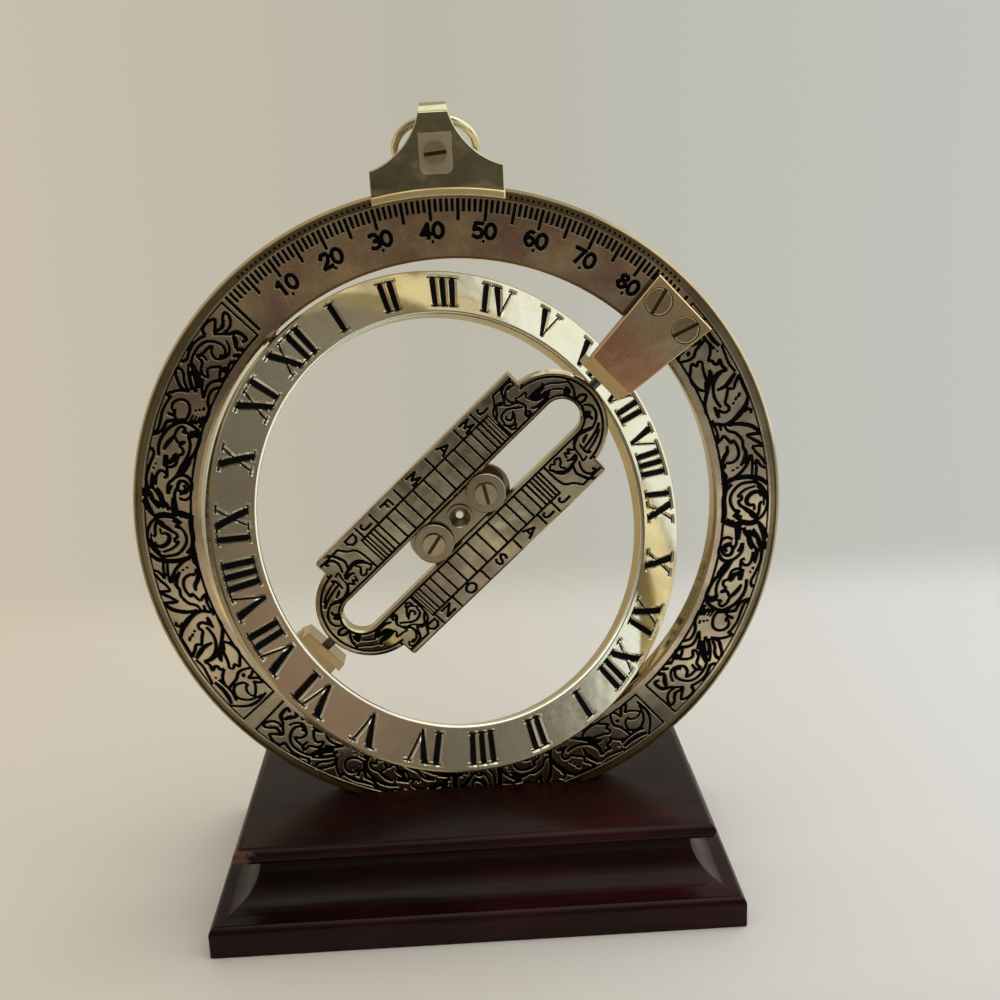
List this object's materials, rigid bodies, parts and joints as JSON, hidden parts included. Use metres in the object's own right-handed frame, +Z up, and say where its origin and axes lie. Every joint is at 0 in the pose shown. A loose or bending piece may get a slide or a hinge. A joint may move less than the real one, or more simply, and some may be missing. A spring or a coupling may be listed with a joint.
{
  "type": "ring dial",
  "caption": "Universal ring dial: a graduated meridian ring, a tilting hour ring and a turning bridge with a pinhole slider, hung from a sliding clasp and standing in a slotted wooden base.",
  "frame": {"origin": "centre of the stand's underside, on the surface that it stands on", "axes": "+Z up, +X to the right along the stand's long side, -Y towards the viewer; the meridian ring's axis is Y"},
  "size_m": [0.12, 0.054, 0.147],
  "materials": {
    "mahogany": "gloss lacquered dark mahogany",
    "brass": "polished brass, slightly toned",
    "pale_brass": "bright polished pale brass",
    "screw_brass": "turned brass screw",
    "pin_steel": "darkened steel",
    "black_fill": "black wax in the engraving"
  },
  "bodies": {
    "stand": {"stand_plinth": "mahogany", "stand_cove": "mahogany", "stand_top": "mahogany"},
    "meridian": {"meridian_ring": "brass", "upper_bracket": "brass", "lower_bracket": "brass", "upper_bracket_screws": "screw_brass", "lower_bracket_screws": "screw_brass", "upper_bridge_pin": "pin_steel", "lower_bridge_pin": "pin_steel", "upper_hour_pin": "pin_steel", "lower_hour_pin": "pin_steel"},
    "hour": {"hour_ring": "pale_brass"},
    "bridge": {"bridge_plate": "brass"},
    "slider": {"slider_bar": "brass", "slider_washers": "brass", "slider_screws": "screw_brass", "slider_back_plate": "brass"},
    "clasp": {"clasp_body": "brass", "clasp_front_plate": "brass", "clasp_back_plate": "brass", "clasp_pad": "pale_brass", "clasp_screw": "screw_brass"},
    "bail": {"suspension_ring": "pale_brass"}
  },
  "joints": [
    {"name": "dial_lift", "type": "slide", "parent": "stand", "child": "meridian", "axis": [0, 0, 1], "range_m": [0, 0.03]},
    {"name": "hour_ring_tilt", "type": "hinge", "parent": "meridian", "child": "hour", "pos_m": [0, 0, 0.0731], "axis": [-0.6769, 0, 0.7361], "range_deg": [-32, 58]},
    {"name": "bridge_turn", "type": "hinge", "parent": "meridian", "child": "bridge", "pos_m": [0, 0, 0.0731], "axis": [0.7361, 0, 0.6769], "continuous": true},
    {"name": "slider_slide", "type": "slide", "parent": "bridge", "child": "slider", "axis": [0.7361, 0, 0.6769], "range_m": [-0.019, 0.019]},
    {"name": "clasp_slide", "type": "hinge", "parent": "meridian", "child": "clasp", "pos_m": [0, 0, 0.0731], "axis": [0, 1, 0], "range_deg": [-41.7, 48.3]},
    {"name": "bail_swing", "type": "hinge", "parent": "clasp", "child": "bail", "pos_m": [-0.00112, 0, 0.14409], "axis": [0.9999, 0, 0.0157], "range_deg": [0, 264]}
  ]
}
